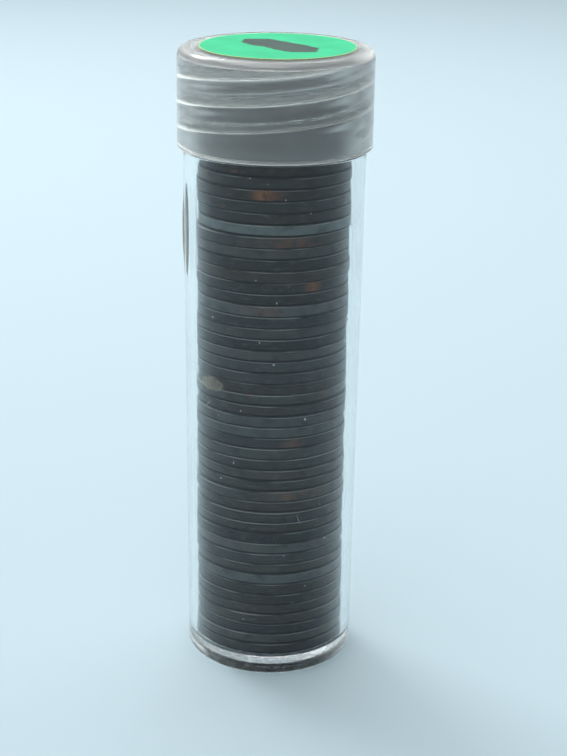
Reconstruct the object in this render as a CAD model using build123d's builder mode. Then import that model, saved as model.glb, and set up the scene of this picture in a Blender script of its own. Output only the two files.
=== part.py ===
from build123d import *
from math import radians, tan
import os

# Round screw-cap coin tube, filled with a stack of loose coins.
# Millimetres, +Z up, origin at the centre of the foot, where the tube stands.

# Coins, worn a little thinner than new ones
coin_diameter = 19.05
coin_thickness = 1.44

# Clear tube: the bore is a loose fit on the coins, and both walls open out towards the mouth
tube_height = 78.8
coin_clearance = 0.225
least_headspace = 3.5
bore_draft_deg = 0.10
foot_wall = 1.05
outer_draft_deg = 0.385
floor_thickness = 2.2
floor_corner = 0.53
coin_seat_gap = 0.03
foot_edge_radius = 0.8
foot_recess_depth = 0.4
foot_ring_width = 2.6
foot_recess_slope = 0.6

# Neck: a thinner ring above the shoulder, which takes the cap's thread
neck_height = 11.2
neck_wall = 0.67
neck_root_chamfer = 0.3
lip_chamfer = 0.2

# Screw cap: its panel seats on the lip, and its skirt ends just above the shoulder
thread_room = 0.73
cap_wall = 0.77
cap_panel = 1.0
cap_edge_radius = 1.1
cap_skirt_gap = 0.3
cap_mouth_chamfer = 0.35

# Round paper dot stuck on the cap
label_diameter = 19.1
label_thickness = 0.12

# Heights, from the foot up: the bottom coin stands on the sloped corner round the floor
coin_rise = max(floor_corner - coin_clearance, 0) + coin_seat_gap
stack_bottom = floor_thickness + coin_rise
coin_count = int((tube_height - stack_bottom - least_headspace) / coin_thickness)
stack_top = stack_bottom + coin_count * coin_thickness
shoulder = tube_height - neck_height
cap_bottom = shoulder + cap_skirt_gap
cap_top = tube_height + cap_panel

# Radii, from the coin outwards
coin_radius = coin_diameter / 2
bore_at_floor = coin_radius + coin_clearance
bore_at_mouth = bore_at_floor + (tube_height - floor_thickness) * tan(radians(bore_draft_deg))
foot_radius = bore_at_floor + foot_wall
shoulder_radius = foot_radius + shoulder * tan(radians(outer_draft_deg))
neck_radius = bore_at_mouth + neck_wall
foot_recess_radius = foot_radius - foot_ring_width
cap_bore_radius = neck_radius + thread_room
cap_radius = cap_bore_radius + cap_wall

os.makedirs("parts", exist_ok=True)


# Tube: one moulding, turned from its half section, with a standing ring under the foot
# and a sloped corner round the floor
with BuildPart() as tube:
    with BuildSketch(Plane.XZ):
        with BuildLine():
            Polyline(
                (0, foot_recess_depth),
                (foot_recess_radius - foot_recess_slope, foot_recess_depth),
                (foot_recess_radius, 0),
                (foot_radius, 0),
                (shoulder_radius, shoulder),
                (neck_radius, shoulder),
                (neck_radius, tube_height),
                (bore_at_mouth, tube_height),
                (bore_at_floor, floor_thickness),
                (0, floor_thickness),
                close=True,
            )
        make_face()
    revolve(axis=Axis.Z)
    rings = tube.edges().filter_by(GeomType.CIRCLE).group_by(Axis.Z)
    foot_edge = rings[0].sort_by(SortBy.RADIUS)[-1]
    floor_edge = rings[-3]
    neck_root = rings[-2].sort_by(SortBy.RADIUS)[0]
    lip_edge = rings[-1].sort_by(SortBy.RADIUS)[-1]
    fillet(foot_edge, foot_edge_radius)
    chamfer(floor_edge, floor_corner)
    chamfer(neck_root, neck_root_chamfer)
    chamfer(lip_edge, lip_chamfer)

tube.part.label = "tube"
export_step(tube.part, "parts/tube.step")


# Cap: a cup with a rounded top edge and a lead-in round its open end
with BuildPart() as cap:
    with BuildSketch(Plane.XY.offset(cap_bottom)):
        Circle(cap_radius)
    extrude(amount=cap_top - cap_bottom)
    with BuildSketch(Plane.XY.offset(cap_bottom)):
        Circle(cap_bore_radius)
    extrude(amount=tube_height - cap_bottom, mode=Mode.SUBTRACT)
    rims = cap.edges().filter_by(GeomType.CIRCLE).group_by(Axis.Z)
    fillet(rims[-1], cap_edge_radius)
    chamfer(rims[0].sort_by(SortBy.RADIUS)[0], cap_mouth_chamfer)

cap.part.label = "cap"
export_step(cap.part, "parts/cap.step")


# Label: a flat dot, centred on the cap
with BuildPart() as label:
    with BuildSketch(Plane.XY.offset(cap_top)):
        Circle(label_diameter / 2)
    extrude(amount=label_thickness)

label.part.label = "label"
export_step(label.part, "parts/label.step")


# Coins: loose discs, each lying on the one below, the first on the corner round the floor
for number in range(1, coin_count + 1):
    with BuildPart() as coin:
        with BuildSketch(Plane.XY.offset(stack_bottom + (number - 1) * coin_thickness)):
            Circle(coin_radius)
        extrude(amount=coin_thickness)

    coin.part.label = f"coin_{number:02d}"
    export_step(coin.part, f"parts/{coin.part.label}.step")

print("coins", coin_count, "with", round(tube_height - stack_top, 2), "free above them")
print("overall height", round(cap_top + label_thickness, 2))
print("widest diameter", round(2 * cap_radius, 2))
print("tube diameter at the foot", round(2 * foot_radius, 2), "and under the cap", round(2 * shoulder_radius, 2))
print("bore at the floor", round(2 * bore_at_floor, 2), "and at the mouth", round(2 * bore_at_mouth, 2))
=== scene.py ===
import bpy
import math
import numpy as np
import random
from mathutils import Matrix, Vector


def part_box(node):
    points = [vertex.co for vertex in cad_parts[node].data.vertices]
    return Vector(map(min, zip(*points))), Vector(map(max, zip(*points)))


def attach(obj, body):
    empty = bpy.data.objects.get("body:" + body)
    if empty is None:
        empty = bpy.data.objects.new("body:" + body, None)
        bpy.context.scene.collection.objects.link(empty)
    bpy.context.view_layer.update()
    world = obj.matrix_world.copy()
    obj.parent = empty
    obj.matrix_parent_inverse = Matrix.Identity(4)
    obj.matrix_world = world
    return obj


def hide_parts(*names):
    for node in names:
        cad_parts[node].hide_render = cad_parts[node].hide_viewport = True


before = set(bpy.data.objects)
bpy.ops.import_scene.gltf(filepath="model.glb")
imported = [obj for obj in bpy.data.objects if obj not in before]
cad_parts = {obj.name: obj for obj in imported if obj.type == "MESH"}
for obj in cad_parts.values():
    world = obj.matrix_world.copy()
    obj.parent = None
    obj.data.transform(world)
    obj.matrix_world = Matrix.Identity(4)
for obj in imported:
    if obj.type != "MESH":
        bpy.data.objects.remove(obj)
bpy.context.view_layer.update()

MM = 0.001
TAU = 2 * math.pi

# Points in each ring of a turned piece
SEGMENTS = 192
LABEL_SEGMENTS = 128
COIN_SEGMENTS = 96

# Sizes read from the frame, in metres
tube_low, tube_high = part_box("tube")
cap_low, cap_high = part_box("cap")
label_low, label_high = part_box("label")
coin_names = sorted(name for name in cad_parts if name.startswith("coin_"))
coin_low, coin_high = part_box(coin_names[0])
mouth = tube_high.z
shoulder_radius = (tube_high.x - tube_low.x) / 2
cap_bottom = cap_low.z
cap_top = cap_high.z
cap_radius = (cap_high.y - cap_low.y) / 2
label_radius = (label_high.x - label_low.x) / 2
label_thickness = label_high.z - label_low.z
coin_radius = (coin_high.x - coin_low.x) / 2

# Small distances: rings a hair apart make a sharp change of wear, and closer than same is equal
hair = 0.03 * MM
same = 1e-6 * MM

# Tube
cap_skirt_gap = 0.3 * MM
shoulder = cap_bottom - cap_skirt_gap
shoulder_round = 0.22 * MM
foot_radius = 10.8 * MM
foot_edge = 0.8 * MM
recess_radius = 8.2 * MM
recess_slope = 0.6 * MM
recess_depth = 0.4 * MM
gate_radius = 1.3 * MM
gate_tip_radius = 0.6 * gate_radius
gate_depth = 0.25 * MM
coin_rise = 0.335 * MM
floor_top = coin_low.z - coin_rise
floor_corner = 0.53 * MM
bore_at_floor = 9.75 * MM
bore_at_mouth = 9.883 * MM
neck_radius = 10.553 * MM
neck_root = 0.3 * MM
lip_round = 0.2 * MM
outer_skin = (10.2 * MM, 10.4 * MM)

# Wear on the tube: scuffs round the foot, stronger under it than on the wall
scuff_height = 2.4 * MM
scuff_reach = 4.6 * MM
scuff_rings_top = 3.0 * MM
wall_scuff = 0.4
under_scuff = 0.6

# Marks on the tube: angle round, height, half size round, half size along, and tilt
glue_mark = (math.radians(-132.5), 39.4 * MM, 2.2 * MM, 1.05 * MM, 0.0)
scratches = [
    (math.radians(-136), 36.6 * MM, 0.9 * MM, 0.05 * MM, math.radians(48)),
    (math.radians(-22), 43.0 * MM, 1.2 * MM, 0.05 * MM, math.radians(50)),
    (math.radians(-71), 22.0 * MM, 1.0 * MM, 0.04 * MM, math.radians(-66)),
]

# Film of yellowed glue, which stands proud of the wall and thins out towards its edge
film_angle = math.radians(-177)
film_middle = 57.1 * MM
film_half_width = 1.0 * MM
film_half_height = 6.4 * MM
film_thickness = 0.22 * MM
film_full_share = 0.2
film_mark = (film_angle, film_middle, film_half_width, film_half_height, 0.0)

# Cap
cap_bore = 11.283 * MM
cap_edge = 1.1 * MM
cap_bead = 0.04 * MM
cap_bead_height = 0.14 * MM
cap_bead_top = 1.4 * cap_bead_height
cap_rim_round = 0.1 * MM
cap_lead_in = 0.3 * MM
cap_inner_corner = 0.06 * MM
cap_middle_ring = 1.0 * MM

# Flash along the cap's lower edge, with one nick of it hanging down
flash_angle = math.radians(-152)
flash_width = math.radians(2.2)
flash_drop = 0.22 * MM
flash_height = 0.02 * MM
flash_wave_drop = 0.02 * MM
flash_level = 0.5
flash_waves = [(0.3, 5, 1.0), (0.2, 13, 0.0)]

# Milkiness of the cap, from 0 to 1: its rim, its bore, the crests of its thread and its panel's edge
rim_milk_height = 1.2 * cap_bead_height
rim_milk = 0.75
rim_milk_waves = [(0.18, 2, 1.2), (0.07, 11, 0.0)]
bore_milk = 0.02
crest_milk = 0.14
crest_sharp_side = (-0.55 * MM, -0.36 * MM)
crest_soft_side = (-0.22 * MM, 0.7 * MM)
panel_milk = 0.01
panel_milk_from = 10.2 * MM
panel_milk_full = 10.8 * MM

# Haze in the skin of the cap's rounded top edge
haze_from = 10.5 * MM
haze_full = 11.1 * MM

# Thread: two starts, right-hand, on the neck and inside the cap
thread_lead = 6.2 * MM
thread_starts = 2
thread_pitch = thread_lead / thread_starts
thread_phase = cap_bottom + 2.76 * MM
thread_fade = 0.7 * MM
thread_steep_side = (-0.62 * MM, -0.14 * MM)
thread_gentle_side = (0.15 * MM, 0.95 * MM)
neck_thread_phase = thread_phase + 1.15 * MM
neck_thread_height = 0.45 * MM
neck_thread_start = 1.2 * MM
neck_thread_end = 0.3 * MM
cap_thread_height = 0.4 * MM
cap_thread_start = 1.95 * MM
cap_thread_end = 0.6 * MM

# Label: stuck on by hand, a little to one side, with its edge lifted in waves
label_shift = 0.2 * MM
paper_share = 0.7
paper_edge_shares = (0.3, 0.8)
under_ring_shares = np.linspace(0.1, 0.995, 8)
upper_ring_shares = np.linspace(0.997, 0.04, 30)
lift_from_share = 0.2
lift_level = 0.5
lift_waves = [(0.28, 3, 0.7), (0.22, 7, 2.1)]
lift_power = 6
cut_edge_from = label_radius - 0.20 * MM
cut_edge_full = label_radius - 0.02 * MM

# Pen patch on the label
patch_place = (0.45 * MM, 0.20 * MM, 0)
patch_turn = math.radians(-47)
patch_wobble = 1.2 * MM
patch_side = (2.8 * MM, 3.2 * MM)
patch_end = (6.5 * MM, 7.0 * MM)
patch_end_slant = 0.8

# Coins: each is worn by its own amount, drawn between these limits
coin_corner = (0.06 * MM, 0.10 * MM)
coin_undercut = (0.14 * MM, 0.38 * MM)
coin_rim = (0.85 * MM, 1.1 * MM)
coin_relief = (0.05 * MM, 0.09 * MM)
coin_gap = (0.005 * MM, 0.035 * MM)
coin_loss = (0.0 * MM, 0.05 * MM)
coin_rim_slope = 0.12 * MM
coin_brink = 0.025 * MM
coin_field_rings = (0.3, 0.97)
lightest_tone = 0.85
warm_power = 1.2

# Rubbed wear with a painted highlight on a coin's upper edge, and painted shade in the gap at its lower
# edge: their reach inwards and along it, as shares of the corner there
wear_and_highlight_reach = (0.8, 1.01)
gap_shade_reach = (1.2, 1.01)

# Coins lie off the axis by a mean and a spread in X and in Y, as far as the bore lets them
coin_shift_x = (-0.04 * MM, 0.08 * MM)
coin_shift_y = (0.0 * MM, 0.05 * MM)
coin_play = 0.15 * MM
coin_seed = 43

# Coins: the pale one, and rust patches as (coin, degrees round from +X, half width in degrees, strength)
pale_coin = 40
pale_tone = 1.0
rust_patches = [
    (43, -96, 8, 1.0),
    (39, -75, 24, 0.3),
    (35, -60, 4.5, 0.9),
    (33, -98, 14, 0.3),
    (21, -75, 9, 0.3),
    (16, -70, 22, 0.3),
]

# Floor, a little below the foot
floor_half_size = 4.0
floor_height = -0.05 * MM
floor_colour = (0.57, 0.70, 0.76, 1)

# Lamps: name, place, size and power in watts
lamp_target = (0, 0, 0.05)
lamps = [
    ("key", (-0.08, 0.0, 0.70), (0.90, 0.45), 2.9),
    ("back_left", (-0.37, 0.49, 0.56), (0.30, 0.18), 2.2),
    ("back", (0.0, 0.52, 0.60), (0.40, 0.08), 0.9),
    ("back_right", (0.40, 0.40, 0.45), (0.30, 0.30), 0.35),
]
world_colour = (0.85, 0.93, 0.97, 1)
world_strength = 0.375

# Camera, fitted to the coin, tube, cap and label edges in the photograph
camera_back = 211.04 * MM
camera_height = 114.56 * MM
camera_pitch = math.radians(20.11)
camera_yaw = math.radians(0.40)
camera_roll = math.radians(0.85)
camera_lens = 83.12
camera_sensor = 36
camera_clip_start = 5 * MM


# Shapes


def smoothstep(low, high, value):
    """0 below low, 1 above high, and a smooth rise between."""
    share = np.clip((value - low) / (high - low), 0.0, 1.0)
    return share * share * (3 - 2 * share)


def waves(theta, level, terms):
    """A level with sine waves round the axis, each of them (height, number of waves, phase)."""
    return level + sum(height * np.sin(number * theta + phase) for height, number, phase in terms)


def turn_from(theta, angle):
    """How far round theta is from an angle, within half a turn either way."""
    return (theta - angle + math.pi) % TAU - math.pi


def arc(centre, radius, start, end, steps):
    """Points on a round corner of a half section, as (radius, height) pairs."""
    angles = np.radians(np.linspace(start, end, steps))
    return [(centre[0] + radius * math.cos(a), centre[1] + radius * math.sin(a)) for a in angles]


def line(first, last, steps):
    """Points between two corners of a half section, without the first corner."""
    shares = np.linspace(0, 1, steps + 1)[1:]
    return [(first[0] + s * (last[0] - first[0]), first[1] + s * (last[1] - first[1])) for s in shares]


def turned(section, segments, shape=None):
    """Rings of points round Z from a half section. shape may move each ring's radii and heights."""
    theta = np.arange(segments) * TAU / segments
    rings = []
    for radius, height in section:
        r = np.full(segments, radius)
        z = np.full(segments, height)
        if shape is not None:
            r, z = shape(r, z, theta)
        rings.append(np.stack([r * np.cos(theta), r * np.sin(theta), z], axis=-1))
    return np.array(rings)


def closed_mesh(name, rings, first_pole, last_pole, sharp_deg=40):
    """A closed object from rings of points, with a point on the axis at each end."""
    count, segments = rings.shape[:2]
    points = [(0, 0, first_pole)] + [tuple(p) for p in rings.reshape(-1, 3)] + [(0, 0, last_pole)]
    last = len(points) - 1
    step = np.roll(np.arange(segments), -1)
    faces = [(0, 1 + step[j], 1 + j) for j in range(segments)]
    for i in range(count - 1):
        low = 1 + i * segments
        high = low + segments
        faces += [(low + j, low + step[j], high + step[j], high + j) for j in range(segments)]
    top = 1 + (count - 1) * segments
    faces += [(last, top + j, top + step[j]) for j in range(segments)]
    mesh = bpy.data.meshes.new(name)
    mesh.from_pydata(points, [], [tuple(int(v) for v in f) for f in faces])
    mesh.polygons.foreach_set("use_smooth", [True] * len(mesh.polygons))
    mesh.set_sharp_from_angle(angle=math.radians(sharp_deg))
    mesh.update()
    piece = bpy.data.objects.new(name, mesh)
    bpy.context.scene.collection.objects.link(piece)
    return piece


def point_values(piece, name, values):
    """Stores one number for each point of a piece, for its material to read."""
    attribute = piece.data.attributes.new(name, "FLOAT", "POINT")
    attribute.data.foreach_set("value", np.asarray(values, dtype=np.float32))


def ring_values(piece, name, values):
    """Stores the numbers of a turned piece's rings, with 0 for its two points on the axis."""
    point_values(piece, name, np.concatenate([[0.0], np.ravel(values), [0.0]]))


def thread(theta, z, phase, low, high):
    """Height above the nearest turn of the thread, and how far the ridge is faded in there."""
    rise = phase + thread_lead * theta / TAU
    centre = rise + np.round((z - rise) / thread_pitch) * thread_pitch
    ends = smoothstep(low, low + thread_fade, centre) * (1 - smoothstep(high - thread_fade, high, centre))
    return z - centre, ends


def ridge(offset):
    """Height of the thread, from 0 to 1: steep below its crest, gentle above."""
    return smoothstep(*thread_steep_side, offset) * (1 - smoothstep(*thread_gentle_side, offset))


def make_tube():
    draft = (shoulder_radius - foot_radius) / shoulder
    wall_low = (foot_radius + draft * foot_edge, foot_edge)
    wall_high = (shoulder_radius, shoulder - shoulder_round)
    neck_low = shoulder + neck_root
    neck_high = mouth - lip_round
    lip_half = lip_round / 2
    corner_radius = bore_at_floor - floor_corner
    section = [(gate_tip_radius, recess_depth + gate_depth)]
    section += line(section[-1], (gate_radius, recess_depth), 3)
    section += line(section[-1], (scuff_reach, recess_depth), 3)
    section += line(section[-1], (recess_radius - recess_slope, recess_depth), 3)
    section += line(section[-1], (recess_radius, 0), 3)
    section += line(section[-1], (foot_radius - foot_edge, 0), 3)
    section += arc((foot_radius - foot_edge, foot_edge), foot_edge, -80, -8, 8)
    section += [wall_low]
    section += line(wall_low, (foot_radius + draft * scuff_rings_top, scuff_rings_top), 8)
    section += line(section[-1], wall_high, 64)
    section += arc((shoulder_radius - shoulder_round, shoulder - shoulder_round), shoulder_round, 20, 90, 5)
    section += arc((neck_radius + neck_root, neck_low), neck_root, 270, 180, 6)
    section += line((neck_radius, neck_low), (neck_radius, neck_high), 110)
    section += arc((neck_radius - lip_round, neck_high), lip_round, 15, 90, 6)
    section += arc((bore_at_mouth + lip_half, mouth - lip_half), lip_half, 90, 180, 5)
    section += line(section[-1], (bore_at_floor, floor_top + floor_corner + hair), 24)
    corner_start = len(section)
    section += [(bore_at_floor, floor_top + floor_corner)]
    section += line(section[-1], (corner_radius, floor_top), 4)
    corner_end = len(section)
    section += [(corner_radius - hair, floor_top)]
    section += line(section[-1], (gate_radius, floor_top), 6)

    def shape(r, z, theta):
        on_wall = foot_edge < z[0] < shoulder and r[0] > foot_radius
        on_neck = neck_low < z[0] < neck_high and abs(r[0] - neck_radius) < neck_root
        if on_wall:
            round_share = turn_from(theta, film_angle) * shoulder_radius / film_half_width
            reach = np.hypot(round_share, (z - film_middle) / film_half_height)
            r = r + film_thickness * (1 - smoothstep(film_full_share, 1.0, reach))
        if on_neck:
            low = neck_low + neck_thread_start
            high = neck_high - neck_thread_end
            offset, ends = thread(theta, z, neck_thread_phase, low, high)
            r = r + neck_thread_height * ridge(offset) * ends
        return r, z

    piece = closed_mesh("clear_tube", turned(section, SEGMENTS, shape), section[0][1], floor_top)
    radii, heights = np.array(section).T
    worn = wall_scuff * (1 - smoothstep(foot_edge, scuff_height, heights))
    worn += under_scuff * (heights < recess_depth + hair)
    worn[radii < scuff_reach] = 0
    worn[corner_start:] = 0
    # Painted shade in the corner round the floor, for the clear plastic to darken
    corner_shade = np.zeros(len(section))
    corner_shade[corner_start:corner_end] = 1
    for name, values in (("scuff", worn), ("corner_shade", corner_shade)):
        ring_values(piece, name, np.repeat(values, SEGMENTS))
    return piece


def make_cap():
    side = cap_radius - cap_bead
    inner_top = (cap_bore - cap_inner_corner, mouth)
    skirt_low = cap_bottom + cap_lead_in
    rim_radius = cap_radius - cap_rim_round
    section = [(cap_middle_ring, mouth)]
    section += line(section[-1], (panel_milk_from, mouth), 6)
    section += line(section[-1], inner_top, 4)
    section += arc((inner_top[0], mouth - cap_inner_corner), cap_inner_corner, 75, 0, 6)
    section += line((cap_bore, mouth - cap_inner_corner), (cap_bore, skirt_low), 130)
    section += line(section[-1], (cap_bore + cap_lead_in, cap_bottom), 3)
    section += line(section[-1], (rim_radius, cap_bottom), 2)
    section += arc((rim_radius, cap_bottom + cap_rim_round), cap_rim_round, -60, 0, 4)
    section += line(section[-1], (cap_radius, cap_bottom + cap_bead_height), 2)
    section += line(section[-1], (side, cap_bottom + cap_bead_top), 3)
    section += line(section[-1], (side, cap_top - cap_edge), 24)
    section += arc((side - cap_edge, cap_top - cap_edge), cap_edge, 6, 90, 14)
    section += line(section[-1], (cap_middle_ring, cap_top), 10)
    milk_values = []
    haze_values = []

    def shape(r, z, theta):
        milk = np.zeros_like(theta)
        haze = np.zeros_like(theta)
        on_top = z[0] > mouth + hair
        on_bore = abs(r[0] - cap_bore) < same
        on_panel = z[0] > mouth - cap_inner_corner and r[0] < cap_bore
        on_flash = z[0] < cap_bottom + flash_height
        on_rim = z[0] < cap_bottom + rim_milk_height
        if on_top:
            haze = smoothstep(haze_from, haze_full, r)
        if on_bore:
            low = cap_bottom + cap_thread_start
            high = mouth + cap_thread_end
            offset, ends = thread(theta, z, thread_phase, low, high)
            r = r - cap_thread_height * ridge(offset) * ends
            sharp_side = smoothstep(*crest_sharp_side, offset)
            soft_side = 1 - smoothstep(*crest_soft_side, offset)
            milk = bore_milk + crest_milk * sharp_side * soft_side * ends
        if on_panel:
            milk = panel_milk * smoothstep(panel_milk_from, panel_milk_full, r)
        if on_flash:
            nick = np.exp(-((turn_from(theta, flash_angle) / flash_width) ** 2))
            z = z - flash_drop * nick - flash_wave_drop * waves(theta, flash_level, flash_waves)
        if on_rim:
            milk = waves(theta, rim_milk, rim_milk_waves)
        milk_values.append(milk)
        haze_values.append(haze)
        return r, z

    piece = closed_mesh("screw_cap", turned(section, SEGMENTS, shape), mouth, cap_top)
    ring_values(piece, "milk", milk_values)
    ring_values(piece, "haze", haze_values)
    return piece


def make_label():
    paper = paper_share * label_thickness
    bottom = label_low.z
    section = [(label_radius * s, bottom) for s in under_ring_shares]
    section += [(label_radius, bottom + s * paper) for s in paper_edge_shares]
    section += [(label_radius * s, bottom + paper) for s in upper_ring_shares]

    def shape(r, z, theta):
        lift = waves(theta, lift_level, lift_waves) * (r / label_radius) ** lift_power
        above = z > bottom + lift_from_share * paper
        return r, z + above * (label_thickness - paper) * lift

    rings = turned(section, LABEL_SEGMENTS, shape)
    piece = closed_mesh("paper_dot", rings, bottom, bottom + paper)
    piece.data.transform(Matrix.Translation((label_shift, 0, 0)))
    return piece


def make_coin(name, draw):
    low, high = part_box(name)
    number = int(name.split("_")[1])
    corner = draw.uniform(*coin_corner)
    undercut = draw.uniform(*coin_undercut)
    rim = draw.uniform(*coin_rim)
    relief = draw.uniform(*coin_relief)
    gap = draw.uniform(*coin_gap)
    radius = coin_radius - draw.uniform(*coin_loss)
    tone = lightest_tone * draw.random()
    warm = draw.random() ** warm_power
    shift = Vector((draw.gauss(*coin_shift_x), draw.gauss(*coin_shift_y), 0))
    if number == pale_coin:
        tone = pale_tone
    if number == 1:
        shift *= 0
    if shift.length > coin_play:
        shift *= coin_play / shift.length

    bottom = low.z
    top = high.z - gap
    field = radius - rim
    rim_edge = field + coin_rim_slope
    section = [(field * s, bottom + relief) for s in coin_field_rings]
    section += [(rim_edge, bottom), (radius - undercut, bottom)]
    section += arc((radius - undercut, bottom + undercut), undercut, -72, 0, 5)
    section += [(radius, bottom + undercut + coin_brink), (radius, top - corner - coin_brink)]
    section += arc((radius - corner, top - corner), corner, 0, 72, 5)
    section += [(radius - corner, top), (rim_edge, top)]
    section += [(field * s, top - relief) for s in reversed(coin_field_rings)]
    rings = turned(section, COIN_SEGMENTS)
    piece = closed_mesh(name.replace("coin", "disc"), rings, bottom + relief, top - relief)
    piece.data.transform(Matrix.Translation(shift))

    # The upper corner is rubbed bright, partly as wear and partly as a painted highlight of the light from
    # above. The lower one is painted dark as the shade in the gap between coins.
    radii, heights = np.array(section).T
    # This mask marks the upper corner's wear together with its painted highlight
    worn = (radii > radius - wear_and_highlight_reach[0] * corner) & (heights > top - wear_and_highlight_reach[1] * corner)
    gap_shaded = (radii > radius - gap_shade_reach[0] * undercut) & (heights < bottom + gap_shade_reach[1] * undercut)
    theta = np.arange(COIN_SEGMENTS) * TAU / COIN_SEGMENTS
    rust = np.zeros(COIN_SEGMENTS)
    for coin, angle, width, strength in rust_patches:
        if coin == number:
            turn = turn_from(theta, math.radians(angle))
            rust += strength * np.exp(-((turn / math.radians(width)) ** 2))
    ring_values(piece, "wear_and_highlight", np.repeat(worn, COIN_SEGMENTS))
    ring_values(piece, "painted_gap_shade", np.repeat(gap_shaded, COIN_SEGMENTS))
    ring_values(piece, "rust", np.tile(rust, len(section)))
    point_values(piece, "tone", np.full(len(piece.data.vertices), tone))
    point_values(piece, "warm", np.full(len(piece.data.vertices), warm))
    return piece


# Materials


class Nodes:
    """Short calls for building one material's node tree."""

    def __init__(self, name):
        self.material = bpy.data.materials.new(name)
        self.material.use_nodes = True
        self.tree = self.material.node_tree
        self.tree.nodes.clear()
        self.out = self.tree.nodes.new("ShaderNodeOutputMaterial")

    def add(self, kind, inputs=None, **settings):
        """A node of some kind. Each of its inputs is linked to a socket or set to a value."""
        node = self.tree.nodes.new(kind)
        for key, value in settings.items():
            setattr(node, key, value)
        for key, value in (inputs or {}).items():
            if isinstance(value, bpy.types.NodeSocket):
                self.tree.links.new(value, node.inputs[key])
            else:
                node.inputs[key].default_value = value
        return node

    def math(self, operation, first, second, clamp=False):
        node = self.add("ShaderNodeMath", {0: first, 1: second}, operation=operation, use_clamp=clamp)
        return node.outputs[0]

    def plus(self, first, second, clamp=False):
        return self.math("ADD", first, second, clamp)

    def minus(self, first, second):
        return self.math("SUBTRACT", first, second)

    def times(self, first, second, clamp=False):
        return self.math("MULTIPLY", first, second, clamp)

    def most(self, first, second):
        return self.math("MAXIMUM", first, second)

    def absolute(self, value):
        """A number without its sign."""
        return self.add("ShaderNodeMath", {0: value}, operation="ABSOLUTE").outputs[0]

    def vector_math(self, operation, first, second):
        return self.add("ShaderNodeVectorMath", {0: first, 1: second}, operation=operation).outputs[0]

    def length(self, vector):
        return self.add("ShaderNodeVectorMath", {0: vector}, operation="LENGTH").outputs["Value"]

    def ramp(self, factor, stops):
        node = self.add("ShaderNodeValToRGB", {0: factor})
        while len(node.color_ramp.elements) < len(stops):
            node.color_ramp.elements.new(0.5)
        for element, (place, colour) in zip(node.color_ramp.elements, stops):
            element.position = place
            element.color = (*colour, 1)
        return node.outputs[0]

    def step(self, value, low, high):
        """0 below low, 1 above high, and a smooth rise between."""
        inputs = {0: value, 1: low, 2: high, 3: 0.0, 4: 1.0}
        return self.add("ShaderNodeMapRange", inputs, interpolation_type="SMOOTHSTEP").outputs[0]

    def below(self, value, low, high):
        """1 below low, 0 above high."""
        return self.minus(1.0, self.step(value, low, high))

    def noise(self, vector, scale, detail=3.0, roughness=0.55):
        inputs = {"Vector": vector, "Scale": scale, "Detail": detail, "Roughness": roughness}
        return self.add("ShaderNodeTexNoise", inputs).outputs["Fac"]

    def tint(self, first, second, factor):
        """The first colour where the factor is 0, and the second where it is 1."""
        inputs = {0: factor, 6: first, 7: second}
        return self.add("ShaderNodeMix", inputs, data_type="RGBA").outputs[2]

    def bump(self, height, strength, distance):
        inputs = {"Height": height, "Strength": strength, "Distance": distance}
        return self.add("ShaderNodeBump", inputs).outputs[0]

    def place(self):
        """The point's place in the object's own frame, in metres."""
        return self.add("ShaderNodeTexCoord").outputs["Object"]

    def mapped(self, vector, place, turn, scale):
        """A vector as seen from a frame with its own place, turn about Z and scale."""
        inputs = {"Vector": vector, "Location": place, "Rotation": (0, 0, turn), "Scale": scale}
        return self.add("ShaderNodeMapping", inputs, vector_type="TEXTURE").outputs[0]

    def round_place(self, across, along, start=0.0):
        """Place round the axis from a start angle, and along it, each stretched by its own scale."""
        inputs = {"Vector": self.place(), "Angle": -start}
        place = self.add("ShaderNodeVectorRotate", inputs, rotation_type="Z_AXIS").outputs[0]
        split = self.add("ShaderNodeSeparateXYZ", {0: place})
        angle = self.math("ARCTAN2", split.outputs[1], split.outputs[0])
        return self.add("ShaderNodeCombineXYZ", {
            0: self.times(angle, across),
            1: self.times(split.outputs[2], along),
        }).outputs[0]

    def oval(self, mark):
        """Distance from the middle of a mark on the tube, as a share of its half sizes."""
        angle, height, half_round, half_along, tilt = mark
        place = self.round_place(shoulder_radius, 1.0, angle)
        return self.length(self.mapped(place, (0, height, 0), tilt, (half_round, half_along, 1)))

    def off_axis(self, vector):
        """Distance from the Z axis."""
        return self.length(self.vector_math("MULTIPLY", vector, (1.0, 1.0, 0.0)))

    def attribute(self, name):
        return self.add("ShaderNodeAttribute", attribute_name=name).outputs["Fac"]

    def lit_through(self, shader, tint, share):
        """Lets lamps shine through a shader, so that they reach what is behind it."""
        path = self.add("ShaderNodeLightPath")
        factor = self.times(path.outputs["Is Shadow Ray"], share)
        clear = self.add("ShaderNodeBsdfTransparent", {"Color": tint}).outputs[0]
        return self.add("ShaderNodeMixShader", {0: factor, 1: shader, 2: clear}).outputs[0]

    def finish(self, shader):
        self.tree.links.new(shader, self.out.inputs["Surface"])
        return self.material


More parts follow.
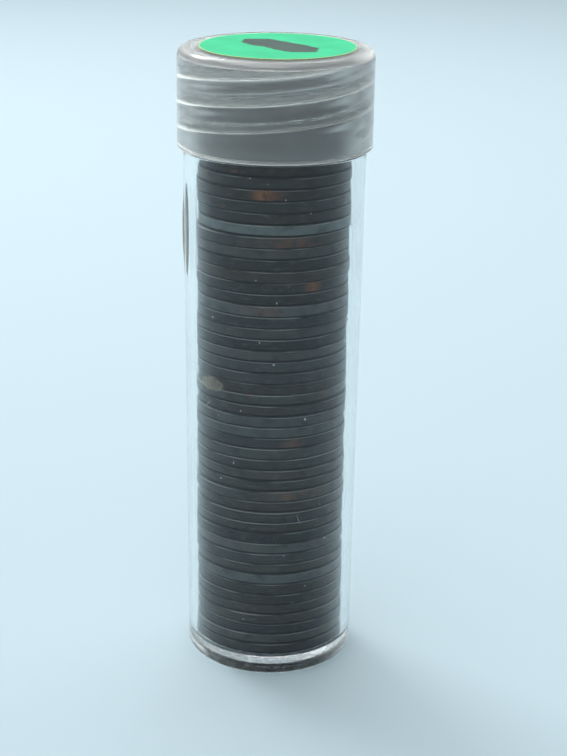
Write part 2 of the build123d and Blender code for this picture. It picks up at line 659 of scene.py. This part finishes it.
def clear_plastic():
    plain_colour = (0.95, 0.98, 0.98, 1)
    glue_colour = (0.60, 0.54, 0.41, 1)
    film_colour = (0.30, 0.24, 0.13, 1)
    # Near black: painted shade for the corner round the floor
    corner_shade_colour = (0.030, 0.032, 0.032, 1)
    n = Nodes("clear_polystyrene")
    scuffs = n.step(n.noise(n.round_place(9, 2200), 1.0, 2.0), 0.68, 0.76)
    streaks = n.step(n.noise(n.round_place(260, 60), 1.0, 3.0), 0.68, 0.76)
    haze = n.noise(n.place(), 160.0, 4.0)
    grit = n.noise(n.place(), 900.0, 3.0)
    foot = n.times(n.attribute("scuff"), n.plus(grit, 0.2), clamp=True)
    marks = n.most(scuffs, streaks)

    # An oval of old glue and a few scratches, on the outside only
    outside = n.step(n.off_axis(n.place()), *outer_skin)
    glue_edge = n.times(n.noise(n.place(), 800.0, 3.0), 0.35)
    glue = n.times(n.below(n.plus(n.oval(glue_mark), glue_edge), 0.9, 1.15), outside)
    glue = n.times(glue, n.plus(n.noise(n.place(), 1500.0, 2.0), 0.4))
    cuts = n.below(n.oval(scratches[0]), 0.5, 1.0)
    for scratch in scratches[1:]:
        cuts = n.most(cuts, n.below(n.oval(scratch), 0.5, 1.0))
    cuts = n.times(cuts, outside)

    # A thin film of yellowed glue, high on the left
    film_edge = n.times(n.noise(n.place(), 500.0, 3.0), 0.2)
    film = n.times(n.below(n.plus(n.oval(film_mark), film_edge), 0.9, 1.1), outside)

    # Painted shade: the corner round the floor is made dark and dull, standing in for the shaded floor seen
    # through it
    corner_shade = n.times(n.attribute("corner_shade"), n.plus(n.times(grit, 0.4), 0.7), clamp=True)

    dull = n.times(foot, 0.10)
    for mark, share in ((glue, 0.24), (cuts, 0.4), (film, 0.85), (corner_shade, 0.9)):
        dull = n.most(dull, n.times(mark, share))
    colour = plain_colour
    for mark, mark_colour in ((glue, glue_colour), (film, film_colour), (corner_shade, corner_shade_colour)):
        colour = n.tint(colour, mark_colour, mark)
    rough = n.times(marks, 0.1)
    for mark, share in ((haze, 0.04), (foot, 0.35), (glue, 0.3)):
        rough = n.plus(rough, n.times(mark, share))
    ripple = n.noise(n.round_place(5, 90), 1.0, 1.0)
    height = n.minus(n.times(ripple, 0.6), n.times(marks, 0.4))
    shader = n.add("ShaderNodeBsdfPrincipled", {
        "Base Color": colour,
        "Transmission Weight": n.minus(1.0, dull),
        "IOR": 1.57,
        "Specular Tint": (0.45, 0.46, 0.47, 1),
        "Roughness": rough,
        "Normal": n.bump(height, 0.25, 0.05 * MM),
    })
    return n.finish(n.lit_through(shader.outputs[0], (0.93, 0.96, 0.96, 1), 1.0))


def milky_plastic():
    n = Nodes("milky_polyethylene")
    milk = n.attribute("milk")
    cloud = n.noise(n.place(), 420.0, 4.0)
    flow = n.noise(n.round_place(70, 40), 1.0, 2.0)
    colour = n.ramp(cloud, [(0.25, (0.92, 0.94, 0.93)), (0.75, (0.96, 0.97, 0.96))])
    frost = n.math("MINIMUM", n.times(milk, 6.0), 0.8)
    rough = n.plus(n.plus(n.times(cloud, 0.08), 0.16), frost)
    height = n.plus(n.times(cloud, 0.3), n.times(flow, 0.5))
    clear = n.minus(0.92, n.times(milk, 0.30))
    clear = n.minus(clear, n.times(n.attribute("haze"), 0.16))
    shader = n.add("ShaderNodeBsdfPrincipled", {
        "Base Color": colour,
        "Roughness": rough,
        "IOR": 1.51,
        "Specular IOR Level": 0.7,
        "Sheen Weight": 0.12,
        "Sheen Roughness": 0.4,
        "Transmission Weight": clear,
        "Subsurface Weight": 1.0,
        "Subsurface Radius": (1.0, 1.0, 1.0),
        "Subsurface Scale": 1.2 * MM,
        "Normal": n.bump(height, 0.12, 0.06 * MM),
    })
    return n.finish(n.lit_through(shader.outputs[0], (0.90, 0.93, 0.92, 1), 0.9))


def label_paper():
    fibre_colour = (0.04, 0.74, 0.43, 1)
    cut_colour = (0.82, 0.84, 0.38, 1)
    n = Nodes("green_paper")
    place = n.place()
    fibre = n.noise(place, 2600.0, 5.0, 0.7)
    cloud = n.noise(place, 260.0, 3.0)
    colour = n.ramp(cloud, [(0.3, (0.018, 0.55, 0.235)), (0.7, (0.032, 0.67, 0.31))])
    colour = n.tint(colour, fibre_colour, n.times(fibre, 0.2))

    # A plain patch of marker pen, drawn along one slanted line
    patch = n.mapped(place, patch_place, patch_turn, (1, 1, 1))
    split = n.add("ShaderNodeSeparateXYZ", {0: patch})
    wobble = n.times(n.noise(place, 450.0, 4.0), patch_wobble)
    across = n.plus(n.absolute(split.outputs[1]), wobble)
    along = n.plus(n.absolute(split.outputs[0]), n.times(across, patch_end_slant))
    ink = n.times(n.below(across, *patch_side), n.below(along, *patch_end))
    strokes = n.noise(n.vector_math("MULTIPLY", patch, (160.0, 2200.0, 1.0)), 1.0, 3.0)
    pen = n.ramp(strokes, [(0.35, (0.016, 0.022, 0.026)), (0.75, (0.085, 0.100, 0.108))])
    colour = n.tint(colour, pen, n.times(ink, 0.93))

    # The cut edge shows the paler paper below the dye
    centred = n.vector_math("SUBTRACT", place, (label_shift, 0.0, 0.0))
    cut = n.step(n.off_axis(centred), cut_edge_from, cut_edge_full)
    colour = n.tint(colour, cut_colour, n.times(cut, 0.8))
    shader = n.add("ShaderNodeBsdfPrincipled", {
        "Base Color": colour,
        "Roughness": n.minus(0.72, n.times(ink, 0.22)),
        "Normal": n.bump(fibre, 0.35, 0.03 * MM),
    })
    return n.finish(shader.outputs[0])


def coin_metal():
    brown = (0.056, 0.039, 0.027, 1)
    dark = (0.012, 0.013, 0.015, 1)
    streak_grey = (0.088, 0.093, 0.093, 1)
    rub_grey = (0.113, 0.117, 0.115, 1)
    # Light grey for the upper corner: rubbed wear and a painted highlight
    rubbed_highlight_grey = (0.46, 0.47, 0.47, 1)
    rust_colour = (0.34, 0.105, 0.030, 1)
    speck_colour = (0.70, 0.71, 0.70, 1)
    # Near black: painted shade for the gap between coins
    gap_shade_colour = (0.008, 0.008, 0.008, 1)
    n = Nodes("worn_zinc_steel")
    tone = n.attribute("tone")
    warm = n.attribute("warm")
    painted_gap_shade = n.attribute("painted_gap_shade")

    # Each coin's own tone and warmth move the noise, so that no two coins have the same blotches
    spread = n.add("ShaderNodeCombineXYZ", {0: tone, 1: warm, 2: n.times(tone, 3.0)}).outputs[0]
    place = n.vector_math("ADD", n.place(), spread)
    blotch = n.noise(place, 520.0, 5.0, 0.65)
    grain = n.noise(place, 1800.0, 2.0, 0.5)
    streaks = n.noise(n.round_place(90, 120), 1.0, 4.0, 0.7)
    rubs = n.noise(n.round_place(7, 2600), 1.0, 3.0, 0.6)
    # Rubbed wear on the upper corner, made light in part as a painted highlight of the light from above
    wear_and_highlight_mask = n.times(n.attribute("wear_and_highlight"), n.step(n.noise(place, 160.0, 2.0), 0.35, 0.6))
    patches = n.times(n.attribute("rust"), n.step(n.noise(place, 900.0, 4.0, 0.7), 0.3, 0.62))
    stains = n.step(n.noise(place, 300.0, 4.0, 0.7), 0.64, 0.78)
    rust = n.most(n.times(stains, 0.5), patches)
    specks = n.step(n.noise(place, 1500.0, 1.0), 0.775, 0.795)

    colour = n.ramp(tone, [
        (0.0, (0.007, 0.008, 0.009)),
        (0.45, (0.027, 0.029, 0.031)),
        (0.8, (0.075, 0.083, 0.085)),
        (1.0, (0.145, 0.168, 0.168)),
    ])
    colour = n.tint(colour, brown, n.times(warm, 0.6))
    colour = n.tint(colour, dark, n.times(n.step(blotch, 0.45, 0.7), 0.6))
    colour = n.tint(colour, streak_grey, n.times(n.step(streaks, 0.55, 0.75), 0.35))
    colour = n.tint(colour, rub_grey, n.times(n.step(rubs, 0.52, 0.72), 0.4))
    colour = n.tint(colour, rubbed_highlight_grey, n.times(wear_and_highlight_mask, 0.6))
    colour = n.tint(colour, rust_colour, n.times(rust, 0.9))
    colour = n.tint(colour, speck_colour, n.times(specks, 0.8))
    # Painted shade: the lower corner turns near black, as the shade in the gap between coins
    colour = n.tint(colour, gap_shade_colour, painted_gap_shade)

    # Rust, and the painted shade in the gap, make the metal rougher and less metallic
    rust_and_gap_shade = n.most(rust, painted_gap_shade)
    rough = n.plus(n.times(blotch, 0.3), n.times(rust_and_gap_shade, 0.3))
    shader = n.add("ShaderNodeBsdfPrincipled", {
        "Base Color": colour,
        "Metallic": n.minus(0.8, n.times(rust_and_gap_shade, 0.7)),
        "Roughness": n.plus(rough, 0.25, clamp=True),
        # The painted shade in the gap also takes away the reflection there
        "Specular IOR Level": n.times(n.minus(1.0, painted_gap_shade), 0.5),
        "Normal": n.bump(n.plus(n.times(grain, 0.3), blotch), 0.14, 0.03 * MM),
    })
    return n.finish(shader.outputs[0])


# Stage


def make_stage():
    size = floor_half_size
    corners = [(-size, -size, 0), (size, -size, 0), (size, size, 0), (-size, size, 0)]
    mesh = bpy.data.meshes.new("floor")
    mesh.from_pydata(corners, [], [(0, 1, 2, 3)])
    mesh.transform(Matrix.Translation((0, 0, floor_height)))
    floor = bpy.data.objects.new("floor", mesh)
    bpy.context.scene.collection.objects.link(floor)
    n = Nodes("pale_floor")
    shader = n.add("ShaderNodeBsdfPrincipled", {
        "Base Color": floor_colour,
        "Roughness": 0.9,
        "Specular IOR Level": 0.1,
    })
    floor.data.materials.append(n.finish(shader.outputs[0]))


def make_lights():
    for name, place, size, power in lamps:
        data = bpy.data.lights.new(name, "AREA")
        data.shape = "RECTANGLE"
        data.size, data.size_y = size
        data.energy = power
        lamp = bpy.data.objects.new(name, data)
        lamp.location = place
        lamp.rotation_euler = (Vector(lamp_target) - Vector(place)).to_track_quat("-Z", "Y").to_euler()
        bpy.context.scene.collection.objects.link(lamp)
    world = bpy.data.worlds.new("studio")
    world.use_nodes = True
    background = world.node_tree.nodes["Background"]
    background.inputs["Color"].default_value = world_colour
    background.inputs["Strength"].default_value = world_strength
    bpy.context.scene.world = world


def make_camera():
    data = bpy.data.cameras.new("camera")
    data.sensor_width = camera_sensor
    data.lens = camera_lens
    data.clip_start = camera_clip_start
    camera = bpy.data.objects.new("camera", data)
    flat = math.cos(camera_pitch)
    ahead = Vector((math.sin(camera_yaw) * flat, math.cos(camera_yaw) * flat, -math.sin(camera_pitch)))
    right = Vector((math.cos(camera_yaw), -math.sin(camera_yaw), 0))
    up = right.cross(ahead)
    turn = Matrix((right, up, -ahead)).transposed() @ Matrix.Rotation(camera_roll, 3, "Z")
    camera.matrix_world = Matrix.Translation((0, -camera_back, camera_height)) @ turn.to_4x4()
    bpy.context.scene.collection.objects.link(camera)
    bpy.context.scene.camera = camera


# The object


def place_piece(piece, material, body, node):
    """Gives a piece its material, and puts it in a node's place on the node's body."""
    piece.data.materials.append(material)
    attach(piece, body)
    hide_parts(node)


place_piece(make_tube(), clear_plastic(), "tube", "tube")
place_piece(make_cap(), milky_plastic(), "cap", "cap")
place_piece(make_label(), label_paper(), "cap", "label")

metal = coin_metal()
draw = random.Random(coin_seed)
for name in coin_names:
    body = "bottom_coin" if name == coin_names[0] else "coin_stack"
    place_piece(make_coin(name, draw), metal, body, name)

make_stage()
make_lights()
make_camera()
bpy.context.scene.view_settings.view_transform = "Standard"
